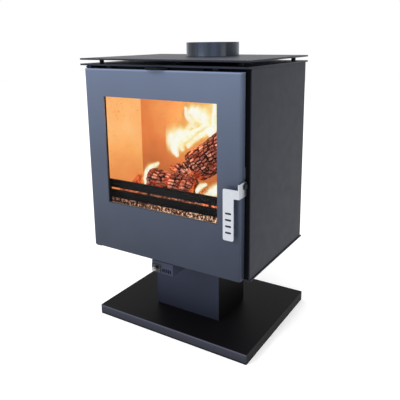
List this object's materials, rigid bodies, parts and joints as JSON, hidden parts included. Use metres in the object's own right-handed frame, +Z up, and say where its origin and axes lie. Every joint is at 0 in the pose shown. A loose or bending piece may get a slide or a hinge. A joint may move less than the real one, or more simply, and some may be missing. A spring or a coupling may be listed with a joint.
{
  "type": "wood burning stove",
  "caption": "Free-standing wood burning stove: glazed steel firebox with twin top plates and a round flue collar, carried on a rectangular column and base plate.",
  "frame": {"origin": "centre of the base's underside, on the floor", "axes": "+X to the right of someone facing the door, +Y towards the back, +Z up"},
  "size_m": [0.462, 0.384, 0.73],
  "materials": {
    "satin_black": "satin",
    "door_paint": "satin",
    "black_iron": "matt",
    "plain_steel": "plain",
    "stainless_steel": "brushed",
    "stove_glass": "clear",
    "rope_seal": "woven",
    "fire_board": "matt",
    "charred_wood": "charred",
    "embers": "glowing"
  },
  "bodies": {
    "root": {"base_floor_plate": "satin_black", "base_plate": "satin_black", "pedestal_column": "satin_black", "body_floor_plate": "satin_black", "column_bolt_front_left": "plain_steel", "column_bolt_back_left": "plain_steel", "column_bolt_front_right": "plain_steel", "column_bolt_back_right": "plain_steel", "side_panel_left": "satin_black", "side_panel_right": "satin_black", "back_panel": "satin_black", "front_frame": "satin_black", "lower_top_plate": "satin_black", "upper_top_plate": "satin_black", "plate_spacer_front_left": "satin_black", "plate_spacer_front_right": "satin_black", "plate_spacer_back_left": "satin_black", "plate_spacer_back_right": "satin_black", "flue_collar": "black_iron", "collar_screw_1": "plain_steel", "collar_screw_2": "plain_steel", "collar_screw_3": "plain_steel", "firebox_side_left": "black_iron", "firebox_side_right": "black_iron", "firebox_back": "black_iron", "firebox_floor": "black_iron", "rear_air_duct": "black_iron", "grate_shelf": "black_iron", "grate": "black_iron", "ash_pan": "plain_steel", "liner_left": "fire_board", "liner_right": "fire_board", "liner_back": "fire_board", "liner_floor": "fire_board", "baffle_plate": "fire_board", "log_fence": "satin_black", "log_lying": "charred_wood", "log_leaning": "charred_wood", "ember_bed": "embers", "hinge_bracket_upper": "satin_black", "hinge_bracket_lower": "satin_black", "latch_keeper": "plain_steel", "airwash_guide_left": "satin_black", "airwash_guide_right": "satin_black", "airwash_deflector": "satin_black", "primary_air_box": "satin_black"},
    "door": {"door_panel": "door_paint", "door_glass": "stove_glass", "glass_gasket": "rope_seal", "glass_clip_lower": "plain_steel", "glass_clip_upper": "plain_steel", "door_inner_frame": "satin_black", "door_rope_seal": "rope_seal"},
    "handle": {"door_handle": "stainless_steel", "handle_spindle": "satin_black", "latch_claw": "plain_steel"},
    "airwash": {"airwash_slide": "satin_black"},
    "primary_air": {"primary_air_slide": "satin_black"}
  },
  "joints": [
    {"name": "door_hinge", "type": "hinge", "parent": "root", "child": "door", "pos_m": [-0.205, -0.184, 0.443], "axis": [0, 0, -1], "range_deg": [0, 110]},
    {"name": "handle_pivot", "type": "hinge", "parent": "door", "child": "handle", "pos_m": [0.219, -0.18, 0.431], "axis": [-1, 0, 0], "range_deg": [0, 40]},
    {"name": "airwash_slider", "type": "slide", "parent": "root", "child": "airwash", "axis": [1, 0, 0], "range_m": [-0.02, 0.02]},
    {"name": "primary_air_slider", "type": "slide", "parent": "root", "child": "primary_air", "axis": [1, 0, 0], "range_m": [0, 0.03]}
  ]
}
